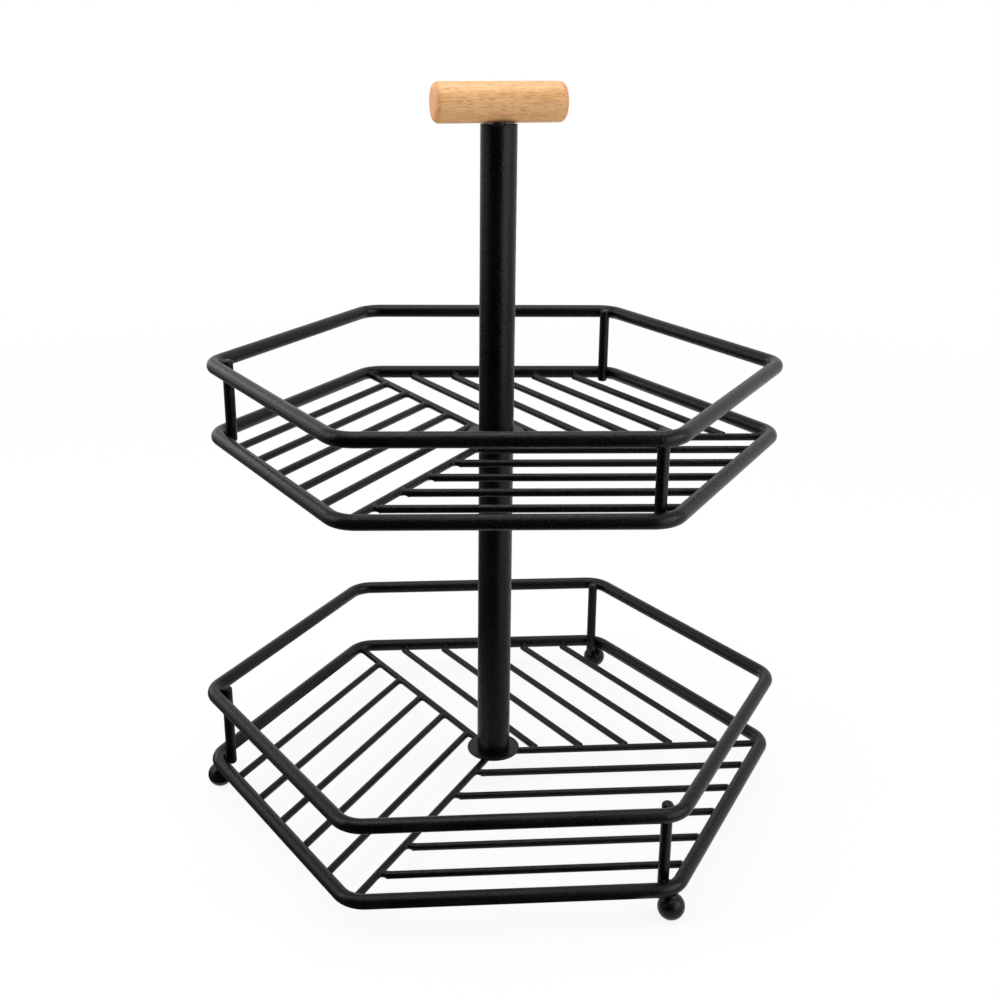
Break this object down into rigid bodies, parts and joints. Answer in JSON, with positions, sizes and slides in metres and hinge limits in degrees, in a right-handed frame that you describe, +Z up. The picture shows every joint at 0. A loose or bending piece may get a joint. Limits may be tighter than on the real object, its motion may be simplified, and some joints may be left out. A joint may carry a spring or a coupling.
{
  "type": "two-tier fruit basket",
  "caption": "Tiered wire basket: hexagonal trays with slatted wire floors on a tube pole with a wooden crossbar handle and ball feet, for holding fruit.",
  "frame": {"origin": "on the pole's axis, at the level of the surface that the feet stand on", "axes": "+Z up along the pole, -Y to the front, so that flat tray sides face front and back, +X to the right"},
  "size_m": [0.3056, 0.269, 0.3655],
  "materials": {
    "coat": "satin black powder coat",
    "beech": "sanded beech, thinly oiled",
    "zinc": "black zinc plated"
  },
  "bodies": {
    "stand": {"lower_base_ring": "coat", "lower_top_rim": "coat", "lower_upright_back": "coat", "lower_upright_left": "coat", "lower_upright_front": "coat", "lower_spine_right": "coat", "lower_spine_back": "coat", "lower_spine_front": "coat", "lower_slat_back_1": "coat", "lower_slat_back_2": "coat", "lower_slat_back_3": "coat", "lower_slat_back_4": "coat", "lower_slat_back_5": "coat", "lower_slat_left_1": "coat", "lower_slat_left_2": "coat", "lower_slat_left_3": "coat", "lower_slat_left_4": "coat", "lower_slat_left_5": "coat", "lower_slat_front_1": "coat", "lower_slat_front_2": "coat", "lower_slat_front_3": "coat", "lower_slat_front_4": "coat", "lower_slat_front_5": "coat", "lower_centre_plate": "coat", "foot_back": "coat", "foot_left": "coat", "foot_front": "coat", "lower_pole": "coat", "upper_pole": "coat", "base_screw": "zinc", "lower_pole_foot_insert": "zinc", "lower_pole_top_insert": "zinc", "joining_stud": "zinc", "upper_pole_top_insert": "zinc"},
    "upper_tray": {"upper_base_ring": "coat", "upper_top_rim": "coat", "upper_upright_back": "coat", "upper_upright_left": "coat", "upper_upright_front": "coat", "upper_spine_right": "coat", "upper_spine_back": "coat", "upper_spine_front": "coat", "upper_slat_back_1": "coat", "upper_slat_back_2": "coat", "upper_slat_back_3": "coat", "upper_slat_back_4": "coat", "upper_slat_back_5": "coat", "upper_slat_left_1": "coat", "upper_slat_left_2": "coat", "upper_slat_left_3": "coat", "upper_slat_left_4": "coat", "upper_slat_left_5": "coat", "upper_slat_front_1": "coat", "upper_slat_front_2": "coat", "upper_slat_front_3": "coat", "upper_slat_front_4": "coat", "upper_slat_front_5": "coat", "upper_centre_plate": "coat"},
    "handle": {"handle": "beech", "handle_stud": "zinc"}
  },
  "joints": [
    {"name": "upper_tray_turn", "type": "hinge", "parent": "stand", "child": "upper_tray", "pos_m": [0, 0, 0.1968], "axis": [0, 0, 1], "continuous": true},
    {"name": "handle_turn", "type": "hinge", "parent": "stand", "child": "handle", "pos_m": [0, 0, 0.3466], "axis": [0, 0, 1], "continuous": true}
  ]
}
